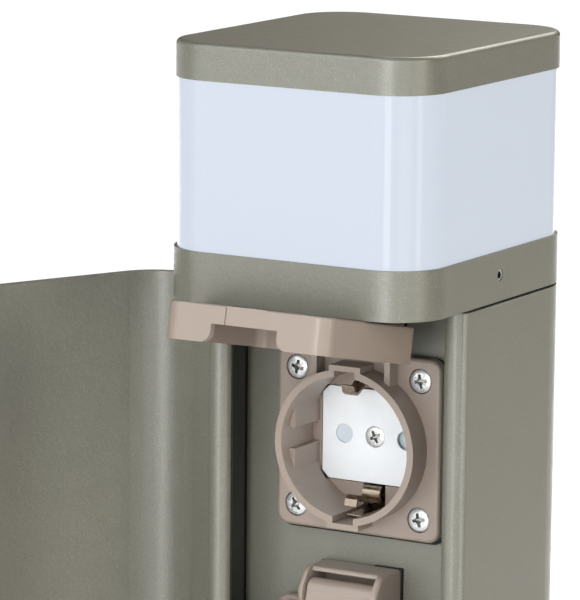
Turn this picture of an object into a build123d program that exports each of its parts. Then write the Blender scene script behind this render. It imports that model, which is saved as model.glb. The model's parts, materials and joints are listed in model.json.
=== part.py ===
from build123d import *
import math
import os

# ------------------------------------------------------------------
# Driving dimensions, millimetres.  X to the right, -Y to the front,
# Z up, origin in the middle of the foot's underside.
# ------------------------------------------------------------------
W, D, R = 80.0, 90.0, 15.0          # plan of the post, corner radius
WALL = 2.5                          # wall of the post and of the door
FOOT_W, FOOT_D, FOOT_H = 110.0, 120.0, 6.0
HOLE_X, HOLE_Y, HOLE_R = 90.0, 100.0, 4.5
PLINTH_TOP = 20.0
POST_TOP = 430.8
COLLAR_Z, COLLAR_H = 431.5, 13.3
LIGHT_TOP = COLLAR_Z + 58.6         # upper end of the visible opal band
TOTAL = 500.0
CAP_W, CAP_D, CAP_R = 79.2, 89.2, 14.6
OPAL_W, OPAL_D, OPAL_R = 78.3, 88.3, 14.15

BEAD_X, BEAD_Y, BEAD_R = 36.75, -14.75, 3.25   # round left front edge, the hinge knuckle
STOP_X, STOP_Y = 36.1, -15.9        # round right front edge, same radius
SCOOP_Y = -9.4                      # left wall stops here to let the door's edge swing past
FRONT_Y = -18.0
DOOR_EDGE = -18.35
DOOR_Z0, DOOR_Z1 = 20.5, 431.1
DOOR_OPEN = 115.3                   # degrees open as it stands
LIP_X, LIP_Y = 32.0, -19.5

SOCKETS = (("upper", COLLAR_Z - 42.25, 102.0), ("lower", COLLAR_Z - 112.25, 0.0))
FLANGE = 50.2
FLANGE_R = 3.6
FACE_Y = -4.15                      # front of the square flange
BACK_Y = -1.15                      # back of the flange, front of its gasket
SCREW = 19.0                        # half of the screw square
RING_Y = -12.0                      # front rim of the well
RING_RO, RING_RI = 21.3, 19.4
FLOOR_Y = 5.5                       # floor of the well
PIN_X, PIN_R = 9.5, 2.65
ARM_Y = -8.8                        # front of the hood's lower arms
HINGE_Y, HINGE_UP = -10.5, 29.7     # lid axis
LID_W, LID_NEAR, LID_FAR = 49.5, 5.7, 55.2
LID_OUT, LID_IN = 4.95, -5.0

LOCK_X, LOCK_Z = 13.0, 200.0

os.makedirs("parts", exist_ok=True)


def facing(y):
    """Plane square to Y at this y, looking to the front; extrusions run towards -Y."""
    return Plane.XZ.offset(-y)


def side(x):
    """Plane square to X; sketch axes are Y and Z, extrusions run towards +X."""
    return Plane.YZ.offset(x)


_a = math.radians(-DOOR_OPEN)
DOOR_XD = (math.cos(_a), math.sin(_a), 0.0)
DOOR_YD = (-math.sin(_a), math.cos(_a), 0.0)


def door_point(x, y, z):
    """Where a point of the shut door stands with the door open."""
    dx, dy = x + BEAD_X, y - BEAD_Y
    return (-BEAD_X + dx * DOOR_XD[0] + dy * DOOR_YD[0], BEAD_Y + dx * DOOR_XD[1] + dy * DOOR_YD[1], z)


def door_plan(z):
    """Horizontal plane of the open door; sketch coordinates are those of the shut door."""
    return Plane(origin=door_point(0, 0, z), x_dir=DOOR_XD, z_dir=(0, 0, 1))


def door_facing(y):
    """Plane of the open door looking out of it; sketch axes are the shut door's X and Z."""
    return Plane(origin=door_point(0, y, 0), x_dir=DOOR_XD, z_dir=(-DOOR_YD[0], -DOOR_YD[1], 0.0))


def door_side(x):
    """Plane of the open door square to the shut door's X; sketch axes are its Y and Z."""
    return Plane(origin=door_point(x, 0, 0), x_dir=DOOR_YD, z_dir=DOOR_XD)


# ------------------------------------------------------------------
# Foot
# ------------------------------------------------------------------
PORT_X, PORT_Y, PORT_R = 31.0, 35.5, 4.2     # screw ports in the back corners of the post

with BuildPart() as foot_plate:
    with BuildSketch(Plane.XY):
        RectangleRounded(FOOT_W, FOOT_D, 12)
    extrude(amount=FOOT_H)
    with BuildSketch(Plane.XY.offset(FOOT_H)):
        RectangleRounded(W, D, R)
    extrude(amount=PLINTH_TOP - FOOT_H)
    # hollow of the plinth, open to the ground side behind the panel
    with BuildSketch(Plane.XY.offset(FOOT_H)):
        with Locations((0, 9)):
            RectangleRounded(50, 58, 4)
    extrude(amount=PLINTH_TOP - FOOT_H - 3, mode=Mode.SUBTRACT)
    with BuildSketch(Plane.XY.offset(PLINTH_TOP - 3)):
        with Locations((0, 19)):
            RectangleRounded(52, 26, 4)
    extrude(amount=3, mode=Mode.SUBTRACT)
    # ground fixing holes
    with BuildSketch(Plane.XY):
        with GridLocations(HOLE_X, HOLE_Y, 2, 2):
            Circle(HOLE_R)
    extrude(amount=FOOT_H, mode=Mode.SUBTRACT)
    # cable entry
    with BuildSketch(Plane.XY):
        with Locations((0, 19)):
            Circle(10.2)
    extrude(amount=FOOT_H, mode=Mode.SUBTRACT)
    # screws into the post, heads let in from below
    with BuildSketch(Plane.XY):
        with Locations((-PORT_X, PORT_Y), (PORT_X, PORT_Y), (STOP_X, STOP_Y)):
            Circle(2.2)
    extrude(amount=PLINTH_TOP, mode=Mode.SUBTRACT)
    with BuildSketch(Plane.XY):
        with Locations((-PORT_X, PORT_Y), (PORT_X, PORT_Y), (STOP_X, STOP_Y)):
            Circle(4.2)
    extrude(amount=3.4, mode=Mode.SUBTRACT)
    chamfer(foot_plate.edges().group_by(Axis.Z)[-1].filter_by(Plane.XY).sort_by(SortBy.LENGTH)[-1:], length=0.4)
foot_plate.part.label = "foot_plate"
export_step(foot_plate.part, "parts/foot_plate.step")

with BuildPart() as foot_screws:
    with BuildSketch(Plane.XY.offset(0.6)):
        with Locations((-PORT_X, PORT_Y), (PORT_X, PORT_Y), (STOP_X, STOP_Y)):
            Circle(3.6)
    extrude(amount=2.8)
    with BuildSketch(Plane.XY.offset(3.4)):
        with Locations((-PORT_X, PORT_Y), (PORT_X, PORT_Y), (STOP_X, STOP_Y)):
            Circle(1.5)
    extrude(amount=26)
    with BuildSketch(Plane.XY.offset(0.6)):
        with Locations((-PORT_X, PORT_Y), (PORT_X, PORT_Y), (STOP_X, STOP_Y)):
            RegularPolygon(1.5, 6)
    extrude(amount=1.8, mode=Mode.SUBTRACT)
foot_screws.part.label = "foot_screws"
export_step(foot_screws.part, "parts/foot_screws.step")

with BuildPart() as cable_gland_body:
    with BuildSketch(Plane.XY.offset(0.6)):
        with Locations((0, 19)):
            Circle(10.0)
    extrude(amount=5.5)
    with BuildSketch(Plane.XY.offset(FOOT_H + 0.1)):
        with Locations((0, 19)):
            RegularPolygon(12.0, 6, major_radius=False)
    extrude(amount=5.5)
    with BuildSketch(Plane.XY.offset(FOOT_H + 5.6)):
        with Locations((0, 19)):
            Circle(9.4)
    extrude(amount=8)
    with BuildSketch(Plane.XY):
        with Locations((0, 19)):
            Circle(5.5)
    extrude(amount=30, mode=Mode.SUBTRACT)
cable_gland_body.part.label = "cable_gland_body"
export_step(cable_gland_body.part, "parts/cable_gland_body.step")

with BuildPart() as cable_gland_nut:
    with BuildSketch(Plane.XY.offset(FOOT_H + 6.2)):
        with Locations((0, 19)):
            RegularPolygon(11.6, 6, major_radius=False)
    extrude(amount=7)
    with BuildSketch(Plane.XY.offset(FOOT_H + 13.2)):
        with Locations((0, 19)):
            Circle(10.6)
    extrude(amount=6, taper=25)
    with BuildSketch(Plane.XY.offset(FOOT_H + 6.2)):
        with Locations((0, 19)):
            Circle(9.5)
    extrude(amount=8.0, mode=Mode.SUBTRACT)
    with BuildSketch(Plane.XY.offset(FOOT_H + 6.2)):
        with Locations((0, 19)):
            Circle(5.5)
    extrude(amount=20, mode=Mode.SUBTRACT)
cable_gland_nut.part.label = "cable_gland_nut"
export_step(cable_gland_nut.part, "parts/cable_gland_nut.step")

# ------------------------------------------------------------------
# Post: one extruded channel, open to the front
# ------------------------------------------------------------------
with BuildPart() as post_body:
    with BuildSketch(Plane.XY.offset(PLINTH_TOP)):
        RectangleRounded(W, D, R)
        RectangleRounded(W - 2 * WALL, D - 2 * WALL, R - WALL, mode=Mode.SUBTRACT)
        with Locations((0, -50 + BEAD_Y)):
            Rectangle(W + 10, 100, mode=Mode.SUBTRACT)
        with Locations((-BEAD_X - 1.5, -50 + SCOOP_Y)):
            Rectangle(8, 100, mode=Mode.SUBTRACT)
        # round front edges and the webs that carry them
        with Locations((-BEAD_X, BEAD_Y), (STOP_X, STOP_Y)):
            Circle(BEAD_R)
        with Locations((-36.45, -8.8)):
            Rectangle(2.9, 7.6)
        with Locations(((STOP_X + 40) / 2, (FRONT_Y + BEAD_Y + 3) / 2)):
            RectangleRounded(40 - STOP_X, BEAD_Y + 3 - FRONT_Y, 1.1)
        # guide ribs behind the panel
        with Locations((-36.5, 3.25), (36.5, 3.25)):
            Rectangle(2.2, 1.9)
        # screw ports in the back corners
        with Locations((-PORT_X, PORT_Y), (PORT_X, PORT_Y)):
            Circle(PORT_R)
        with Locations((-34.6, 35.5), (34.6, 35.5)):
            Rectangle(3.2, 4.0)
        with Locations((-PORT_X, PORT_Y), (PORT_X, PORT_Y), (-BEAD_X, BEAD_Y), (STOP_X, STOP_Y)):
            Circle(1.55, mode=Mode.SUBTRACT)
    extrude(amount=POST_TOP - PLINTH_TOP)
    # the knuckle is cut back at both ends for the door's brackets
    with BuildSketch(Plane.XY.offset(POST_TOP - 3.9)):
        with Locations((-BEAD_X, -14.5)):
            Rectangle(10, 10.2)
    extrude(amount=5, mode=Mode.SUBTRACT)
    with BuildSketch(Plane.XY.offset(PLINTH_TOP - 1)):
        with Locations((-BEAD_X, -14.5)):
            Rectangle(10, 10.2)
    extrude(amount=4.9, mode=Mode.SUBTRACT)
post_body.part.label = "post_body"
export_step(post_body.part, "parts/post_body.step")

with BuildPart() as mounting_panel:
    with BuildSketch(facing(2.0)):
        with Locations((0, 226)):
            Rectangle(74.4, 409)
        for _tag, zc, _open in SOCKETS:
            with Locations((0, zc)):
                Circle(22.1, mode=Mode.SUBTRACT)
            with Locations((0, zc)):
                with GridLocations(2 * SCREW, 2 * SCREW, 2, 2):
                    Circle(1.6, mode=Mode.SUBTRACT)
        with Locations((-24, 40), (24, 40), (-24, 262), (24, 262)):
            Circle(1.6, mode=Mode.SUBTRACT)
        with Locations((0, 118)):
            SlotOverall(30, 12, mode=Mode.SUBTRACT)
        with Locations((-14, 138), (14, 138), (-14, 238), (14, 238)):
            Circle(1.6, mode=Mode.SUBTRACT)
        with Locations((-14, 84), (14, 84), (28, 84)):
            Circle(1.6, mode=Mode.SUBTRACT)
    extrude(amount=2.0)
mounting_panel.part.label = "mounting_panel"
export_step(mounting_panel.part, "parts/mounting_panel.step")

# brackets behind the panel that tie it to the back wall of the post
with BuildPart() as panel_brackets:
    for z in (40.0, 262.0):
        with BuildSketch(facing(4.2)):
            with Locations((0, z)):
                Rectangle(60, 14)
        extrude(amount=2.2)
        with BuildSketch(facing(42.4)):
            with Locations((-20, z), (20, z)):
                Rectangle(2, 14)
        extrude(amount=38.2)
        with BuildSketch(facing(42.4)):
            with Locations((-16.0, z), (16.0, z)):
                Rectangle(8.0, 14)
        extrude(amount=2.0)
        with BuildSketch(facing(4.2)):
            with Locations((-24, z), (24, z)):
                Circle(1.6)
        extrude(amount=2.2, mode=Mode.SUBTRACT)
        with BuildSketch(facing(4.2)):
            with Locations((0, z)):
                Rectangle(30, 8)
        extrude(amount=2.2, mode=Mode.SUBTRACT)
panel_brackets.part.label = "panel_brackets"
export_step(panel_brackets.part, "parts/panel_brackets.step")

with BuildPart() as panel_screws:
    with BuildSketch(facing(0.0)):
        with Locations((-24, 40), (24, 40), (-24, 262), (24, 262)):
            Circle(3.0)
    extrude(amount=1.8)
    fillet(panel_screws.edges().filter_by(GeomType.CIRCLE).group_by(Axis.Y)[0], radius=0.8)
    with BuildSketch(facing(8.0)):
        with Locations((-24, 40), (24, 40), (-24, 262), (24, 262)):
            Circle(1.5)
    extrude(amount=8.0)
    with BuildSketch(facing(-0.9)):
        with Locations((-24, 40), (24, 40), (-24, 262), (24, 262)):
            Rectangle(3.4, 0.8)
            Rectangle(0.8, 3.4)
    extrude(amount=1.5, mode=Mode.SUBTRACT)
panel_screws.part.label = "panel_screws"
export_step(panel_screws.part, "parts/panel_screws.step")

# ------------------------------------------------------------------
# Wiring parts below the sockets
# ------------------------------------------------------------------
with BuildPart() as terminal_block:
    with BuildSketch(facing(0.0)):
        with Locations((0, 84)):
            Rectangle(42, 18)
    extrude(amount=6)
    with BuildSketch(facing(-6.0)):
        with Locations((0, 84)):
            Rectangle(42, 12)
    extrude(amount=8)
    for x in (-14.0, 0.0, 14.0):
        with BuildSketch(facing(-14.0)):
            with Locations((x - 3.5, 84), (x + 3.5, 84)):
                Circle(2.0)
        extrude(amount=-9, mode=Mode.SUBTRACT)
        with BuildSketch(Plane.XY.offset(74)):
            with Locations((x, -10)):
                Rectangle(5, 3.2)
        extrude(amount=5.5, mode=Mode.SUBTRACT)
    with BuildSketch(facing(0.0)):
        with Locations((-14, 84), (14, 84)):
            Circle(1.6)
    extrude(amount=6, mode=Mode.SUBTRACT)
terminal_block.part.label = "terminal_block"
export_step(terminal_block.part, "parts/terminal_block.step")

with BuildPart() as terminal_screws:
    for x in (-14.0, 0.0, 14.0):
        with BuildSketch(facing(-6.0)):
            with Locations((x - 3.5, 84), (x + 3.5, 84)):
                Circle(1.8)
        extrude(amount=5)
        with BuildSketch(facing(-10.2)):
            with Locations((x - 3.5, 84), (x + 3.5, 84)):
                Rectangle(3.9, 0.7)
        extrude(amount=1.0, mode=Mode.SUBTRACT)
terminal_screws.part.label = "terminal_screws"
export_step(terminal_screws.part, "parts/terminal_screws.step")

with BuildPart() as earth_stud:
    with BuildSketch(facing(6.0)):
        with Locations((28, 84)):
            Circle(1.5)
    extrude(amount=20)
    with BuildSketch(facing(0.0)):
        with Locations((28, 84)):
            Circle(4.0)
    extrude(amount=0.8)
    with BuildSketch(facing(-0.8)):
        with Locations((28, 84)):
            RegularPolygon(3.4, 6, major_radius=False)
    extrude(amount=2.6)
    with BuildSketch(facing(-7.0)):
        with Locations((28, 84)):
            RegularPolygon(3.4, 6, major_radius=False)
    extrude(amount=2.6)
earth_stud.part.label = "earth_stud"
export_step(earth_stud.part, "parts/earth_stud.step")

with BuildPart() as led_driver:
    with BuildSketch(facing(22.0)):
        with Locations((0, 188)):
            RectangleRounded(42, 86, 2)
    extrude(amount=20)
    with BuildSketch(facing(4.0)):
        with Locations((0, 188)):
            Rectangle(38, 108)
    extrude(amount=2)
    with BuildSketch(facing(4.0)):
        with Locations((-14, 138), (14, 138), (-14, 238), (14, 238)):
            Circle(1.6)
    extrude(amount=2, mode=Mode.SUBTRACT)
    fillet(led_driver.edges().filter_by(Axis.Z).group_by(Axis.Y)[-1], radius=1.0)
led_driver.part.label = "led_driver"
export_step(led_driver.part, "parts/led_driver.step")

with BuildPart() as driver_screws:
    with BuildSketch(facing(0.0)):
        with Locations((-14, 138), (14, 138), (-14, 238), (14, 238)):
            Circle(2.8)
    extrude(amount=1.6)
    with BuildSketch(facing(8.0)):
        with Locations((-14, 138), (14, 138), (-14, 238), (14, 238)):
            Circle(1.5)
    extrude(amount=8.0)
    with BuildSketch(facing(-0.8)):
        with Locations((-14, 138), (14, 138), (-14, 238), (14, 238)):
            Rectangle(3.2, 0.8)
            Rectangle(0.8, 3.2)
    extrude(amount=1.2, mode=Mode.SUBTRACT)
driver_screws.part.label = "driver_screws"
export_step(driver_screws.part, "parts/driver_screws.step")

# ------------------------------------------------------------------
# Head: collar, opal band, cap and what is inside
# ------------------------------------------------------------------
with BuildPart() as collar_gasket:
    with BuildSketch(Plane.XY.offset(POST_TOP)):
        RectangleRounded(W - 1.6, D - 1.6, R - 0.8)
        RectangleRounded(W - 2 * WALL, D - 2 * WALL, R - WALL, mode=Mode.SUBTRACT)
        with Locations((0, -50 - 8.0)):
            Rectangle(W + 10, 100, mode=Mode.SUBTRACT)
    extrude(amount=COLLAR_Z - POST_TOP)
collar_gasket.part.label = "collar_gasket"
export_step(collar_gasket.part, "parts/collar_gasket.step")

ROD_X, ROD_Y = 24.0, 29.0
SET_Y, SET_Z = 0.5, COLLAR_Z + 6.96
with BuildPart() as collar:
    with BuildSketch(Plane.XY.offset(COLLAR_Z)):
        RectangleRounded(W, D, R)
    extrude(amount=COLLAR_H)
    with BuildSketch(Plane.XY.offset(COLLAR_Z + 2.5)):
        RectangleRounded(W - 6, D - 6, R - 3)
    extrude(amount=COLLAR_H, mode=Mode.SUBTRACT)
    # heads of the tie rods, wires, screws into the post
    with BuildSketch(Plane.XY.offset(COLLAR_Z)):
        with GridLocations(2 * ROD_X, 2 * ROD_Y, 2, 2):
            Circle(4.4)
        with Locations((0, 19)):
            Circle(7)
        with Locations((-PORT_X, PORT_Y), (PORT_X, PORT_Y)):
            Circle(1.7)
    extrude(amount=2.5, mode=Mode.SUBTRACT)
    # locating rib inside the channel of the post
    with BuildSketch(Plane.XY.offset(COLLAR_Z - 8.5)):
        with Locations((0, 41.1)):
            Rectangle(40, 2.2)
        with Locations((-36.2, 18), (36.2, 18)):
            Rectangle(2.2, 16)
    extrude(amount=8.5)
    # holes of the set screws
    with BuildSketch(side(-45)):
        with Locations((SET_Y, SET_Z)):
            Circle(1.6)
    extrude(amount=90, mode=Mode.SUBTRACT)
    fillet(collar.edges().group_by(Axis.Z)[-1].filter_by(Plane.XY).sort_by(SortBy.LENGTH)[-1:], radius=0.35)
collar.part.label = "collar"
export_step(collar.part, "parts/collar.step")

with BuildPart() as collar_set_screws:
    with BuildSketch(side(36.66)):
        with Locations((SET_Y, SET_Z)):
            Circle(1.5)
    extrude(amount=2.9)
    with BuildSketch(side(37.3)):
        with Locations((SET_Y, SET_Z)):
            RegularPolygon(1.1, 6)
    extrude(amount=2.9, mode=Mode.SUBTRACT)
    with BuildSketch(side(-39.56)):
        with Locations((SET_Y, SET_Z)):
            Circle(1.5)
    extrude(amount=2.9)
    with BuildSketch(side(-40.2)):
        with Locations((SET_Y, SET_Z)):
            RegularPolygon(1.1, 6)
    extrude(amount=2.9, mode=Mode.SUBTRACT)
collar_set_screws.part.label = "collar_set_screws"
export_step(collar_set_screws.part, "parts/collar_set_screws.step")

with BuildPart() as collar_screws:
    with BuildSketch(Plane.XY.offset(COLLAR_Z + 2.5)):
        with Locations((-PORT_X, PORT_Y), (PORT_X, PORT_Y)):
            Circle(1.8)
    extrude(amount=1.0)
    with BuildSketch(Plane.XY.offset(COLLAR_Z - 14)):
        with Locations((-PORT_X, PORT_Y), (PORT_X, PORT_Y)):
            Circle(1.5)
    extrude(amount=16.5)
collar_screws.part.label = "collar_screws"

with BuildPart() as led_carrier:
    with BuildSketch(Plane.XY.offset(COLLAR_Z + 2.7)):
        RectangleRounded(73.2, 83.2, 11.6)
        with GridLocations(2 * ROD_X, 2 * ROD_Y, 2, 2):
            Circle(2.1, mode=Mode.SUBTRACT)
        with Locations((-PORT_X, PORT_Y), (PORT_X, PORT_Y)):
            Circle(3.0, mode=Mode.SUBTRACT)
        with Locations((0, 19)):
            Circle(5, mode=Mode.SUBTRACT)
    extrude(amount=2.0)
led_carrier.part.label = "led_carrier"
export_step(led_carrier.part, "parts/led_carrier.step")
export_step(collar_screws.part, "parts/collar_screws.step")

CARRIER_TOP = COLLAR_Z + 4.7
with BuildPart() as led_board:
    with BuildSketch(Plane.XY.offset(CARRIER_TOP)):
        with Locations((0, -6)):
            RectangleRounded(42, 38, 2)
        with Locations((-17, 8), (17, 8), (-17, -20), (17, -20)):
            Circle(1.3, mode=Mode.SUBTRACT)
    extrude(amount=1.6)
led_board.part.label = "led_board"
export_step(led_board.part, "parts/led_board.step")

with BuildPart() as led_board_screws:
    with BuildSketch(Plane.XY.offset(CARRIER_TOP + 1.6)):
        with Locations((-17, 8), (17, 8), (-17, -20), (17, -20)):
            Circle(2.1)
    extrude(amount=1.4)
    with BuildSketch(Plane.XY.offset(CARRIER_TOP)):
        with Locations((-17, 8), (17, 8), (-17, -20), (17, -20)):
            Circle(1.2)
    extrude(amount=1.6)
led_board_screws.part.label = "led_board_screws"
export_step(led_board_screws.part, "parts/led_board_screws.step")

with BuildPart() as led_chips:
    with BuildSketch(Plane.XY.offset(CARRIER_TOP + 1.6)):
        with Locations((0, -6)):
            with GridLocations(9, 9, 3, 4):
                Rectangle(3.2, 3.2)
    extrude(amount=0.8)
led_chips.part.label = "led_chips"
export_step(led_chips.part, "parts/led_chips.step")

with BuildPart() as diffuser_gasket:
    with BuildSketch(Plane.XY.offset(CARRIER_TOP)):
        RectangleRounded(73.0, 83.0, 11.5)
        RectangleRounded(67.4, 77.4, 8.7, mode=Mode.SUBTRACT)
    extrude(amount=0.8)
diffuser_gasket.part.label = "diffuser_gasket"
export_step(diffuser_gasket.part, "parts/diffuser_gasket.step")

with BuildPart() as diffuser:
    with BuildSketch(Plane.XY.offset(CARRIER_TOP + 0.8)):
        RectangleRounded(73.2, 83.2, 11.6)
    extrude(amount=12)
    with BuildSketch(Plane.XY.offset(COLLAR_Z + COLLAR_H)):
        RectangleRounded(OPAL_W, OPAL_D, OPAL_R)
    extrude(amount=LIGHT_TOP - COLLAR_Z - COLLAR_H)
    with BuildSketch(Plane.XY.offset(CARRIER_TOP)):
        RectangleRounded(67.2, 77.2, 8.6)
    extrude(amount=80, mode=Mode.SUBTRACT)
diffuser.part.label = "diffuser"
export_step(diffuser.part, "parts/diffuser.step")

with BuildPart() as cap:
    with BuildSketch(Plane.XY.offset(LIGHT_TOP)):
        RectangleRounded(CAP_W, CAP_D, CAP_R)
    extrude(amount=TOTAL - LIGHT_TOP)
    with BuildSketch(Plane.XY.offset(LIGHT_TOP)):
        RectangleRounded(OPAL_W - 14, OPAL_D - 14, 7)
    extrude(amount=5.5, mode=Mode.SUBTRACT)
    # rib that drops inside the opal band, and bosses for the rods
    with BuildSketch(Plane.XY.offset(LIGHT_TOP - 3)):
        RectangleRounded(66.8, 76.8, 8.4)
        RectangleRounded(62.8, 72.8, 6.4, mode=Mode.SUBTRACT)
    extrude(amount=3.5)
    with BuildSketch(Plane.XY.offset(LIGHT_TOP - 3)):
        with GridLocations(2 * ROD_X, 2 * ROD_Y, 2, 2):
            Circle(4.5)
    extrude(amount=9)
    with BuildSketch(Plane.XY.offset(LIGHT_TOP - 3)):
        with GridLocations(2 * ROD_X, 2 * ROD_Y, 2, 2):
            Circle(2.05)
    extrude(amount=8, mode=Mode.SUBTRACT)
    fillet(cap.faces().sort_by(Axis.Z)[-1].outer_wire().edges(), radius=1.3)
cap.part.label = "cap"
export_step(cap.part, "parts/cap.step")

with BuildPart() as tie_rods:
    with BuildSketch(Plane.XY.offset(COLLAR_Z + 0.3)):
        with GridLocations(2 * ROD_X, 2 * ROD_Y, 2, 2):
            Circle(3.5)
    extrude(amount=2.4)
    with BuildSketch(Plane.XY.offset(COLLAR_Z + 2.7)):
        with GridLocations(2 * ROD_X, 2 * ROD_Y, 2, 2):
            Circle(2.0)
    extrude(amount=LIGHT_TOP + 4.0 - COLLAR_Z - 2.7)
    with BuildSketch(Plane.XY.offset(COLLAR_Z + 0.3)):
        with GridLocations(2 * ROD_X, 2 * ROD_Y, 2, 2):
            RegularPolygon(1.5, 6)
    extrude(amount=1.6, mode=Mode.SUBTRACT)
tie_rods.part.label = "tie_rods"
export_step(tie_rods.part, "parts/tie_rods.step")

# ------------------------------------------------------------------
# Door, made shut and stood open about the left front knuckle
# ------------------------------------------------------------------
with BuildPart() as door:
    with BuildSketch(door_plan(DOOR_Z0)):
        RectangleRounded(W, D, R)
        RectangleRounded(W - 2 * WALL, D - 2 * WALL, R - WALL, mode=Mode.SUBTRACT)
        with Locations((0, 50 + DOOR_EDGE)):
            Rectangle(W + 10, 100, mode=Mode.SUBTRACT)
        with Locations((35, 50 + LIP_Y)):
            Rectangle(20, 100, mode=Mode.SUBTRACT)
        with Locations(((LIP_X + 40) / 2, LIP_Y - WALL / 2)):
            Rectangle(40 - LIP_X, WALL)
    extrude(amount=DOOR_Z1 - DOOR_Z0)
    with BuildSketch(door_facing(-40)):
        with Locations((LOCK_X, LOCK_Z)):
            Circle(8.1)
    extrude(amount=8, mode=Mode.SUBTRACT)
    with BuildSketch(door_side(-42)):
        for z in (38.0, 421.0):
            with Locations((-24.0, z)):
                Circle(1.6)
    extrude(amount=6, mode=Mode.SUBTRACT)
door.part.label = "door"
export_step(door.part, "parts/door.step")

with BuildPart() as hinge_brackets:
    for z0, z1, tab0, tab1 in ((427.4, 430.4, 416.5, 430.4), (20.8, 23.6, 20.8, 43.5)):
        with BuildSketch(door_plan(z0)):
            with Locations((-BEAD_X, BEAD_Y)):
                Circle(3.0)
            with Locations((-35.7, -21.0)):
                Rectangle(3.5, 12.5)
            with Locations((-BEAD_X, BEAD_Y)):
                Circle(1.56, mode=Mode.SUBTRACT)
        extrude(amount=z1 - z0)
        with BuildSketch(door_plan(tab0)):
            with Locations((-36.45, -23.7)):
                Rectangle(2.0, 9.0)
        extrude(amount=tab1 - tab0)
    with BuildSketch(door_side(-39)):
        for z in (38.0, 421.0):
            with Locations((-24.0, z)):
                Circle(1.6)
    extrude(amount=6, mode=Mode.SUBTRACT)
hinge_brackets.part.label = "hinge_brackets"
export_step(hinge_brackets.part, "parts/hinge_brackets.step")

with BuildPart() as bracket_rivets:
    for z in (38.0, 421.0):
        with BuildSketch(door_side(-39.9)):
            with Locations((-24.0, z)):
                Circle(1.5)
        extrude(amount=4.6)
        with BuildSketch(door_side(-35.4)):
            with Locations((-24.0, z)):
                Circle(2.8)
        extrude(amount=1.2)
bracket_rivets.part.label = "bracket_rivets"
export_step(bracket_rivets.part, "parts/bracket_rivets.step")

with BuildPart() as hinge_pins:
    with BuildSketch(Plane.XY.offset(412.0)):
        with Locations((-BEAD_X, BEAD_Y)):
            Circle(1.5)
    extrude(amount=18.8)
    with BuildSketch(Plane.XY.offset(20.2)):
        with Locations((-BEAD_X, BEAD_Y)):
            Circle(1.5)
    extrude(amount=18.8)
hinge_pins.part.label = "hinge_pins"
export_step(hinge_pins.part, "parts/hinge_pins.step")

# quarter-turn lock in the door
with BuildPart() as lock_body:
    with BuildSketch(door_facing(-45.05)):
        with Locations((LOCK_X, LOCK_Z)):
            Circle(11.0)
    extrude(amount=1.8)
    with BuildSketch(door_facing(-28.0)):
        with Locations((LOCK_X, LOCK_Z)):
            Circle(8.0)
    extrude(amount=17.3)
    with BuildSketch(door_facing(-27.0)):
        with Locations((LOCK_X, LOCK_Z)):
            Circle(5.56)
    extrude(amount=22, mode=Mode.SUBTRACT)
lock_body.part.label = "lock_body"
export_step(lock_body.part, "parts/lock_body.step")

with BuildPart() as lock_nut:
    with BuildSketch(door_facing(-38.4)):
        with Locations((LOCK_X, LOCK_Z)):
            RegularPolygon(10.0, 6, major_radius=False)
            Circle(8.05, mode=Mode.SUBTRACT)
    extrude(amount=4.0)
lock_nut.part.label = "lock_nut"
export_step(lock_nut.part, "parts/lock_nut.step")

with BuildPart() as lock_core:
    with BuildSketch(door_facing(-26.0)):
        with Locations((LOCK_X, LOCK_Z)):
            Circle(5.5)
    extrude(amount=20.6)
    with BuildSketch(door_facing(-23.2)):
        with Locations((LOCK_X, LOCK_Z)):
            Circle(2.5)
    extrude(amount=2.8)
    # triangular key recess
    with BuildSketch(door_facing(-46.6)):
        with Locations((LOCK_X, LOCK_Z)):
            RegularPolygon(3.6, 3, rotation=90)
    extrude(amount=-6.5, mode=Mode.SUBTRACT)
lock_core.part.label = "lock_core"
export_step(lock_core.part, "parts/lock_core.step")

with BuildPart() as lock_cam:
    # stands unlocked, pointing down
    with BuildSketch(door_facing(-23.5)):
        with Locations((LOCK_X, LOCK_Z - 4.0)):
            RectangleRounded(12, 21, 3)
        with Locations((LOCK_X, LOCK_Z)):
            Circle(2.55, mode=Mode.SUBTRACT)
    extrude(amount=2.4)
    with BuildSketch(door_facing(-8.6)):
        with Locations((LOCK_X, LOCK_Z - 13.4)):
            Rectangle(12, 2.2)
    extrude(amount=17.3)
    with BuildSketch(door_facing(-8.6)):
        with Locations((LOCK_X, LOCK_Z - 17.6)):
            RectangleRounded(12, 10.6, 1.5)
    extrude(amount=2.2)
lock_cam.part.label = "lock_cam"
export_step(lock_cam.part, "parts/lock_cam.step")

# ------------------------------------------------------------------
# The two sockets
# ------------------------------------------------------------------
def strip(points, thick):
    """Bent strip of even thickness through these points of the sketch."""
    for (a0, b0), (a1, b1) in zip(points, points[1:]):
        turn = math.degrees(math.atan2(b1 - b0, a1 - a0))
        with Locations(((a0 + a1) / 2, (b0 + b1) / 2)):
            SlotCenterToCenter(math.hypot(a1 - a0, b1 - b0), thick, rotation=turn)


def cross(points, turns, long, wide):
    """Cross recesses of screws, each turned its own way."""
    for (a0, b0), turn in zip(points, turns):
        with Locations((a0, b0)):
            Rectangle(long, wide, rotation=turn)
            Rectangle(wide, long, rotation=turn)


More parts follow.
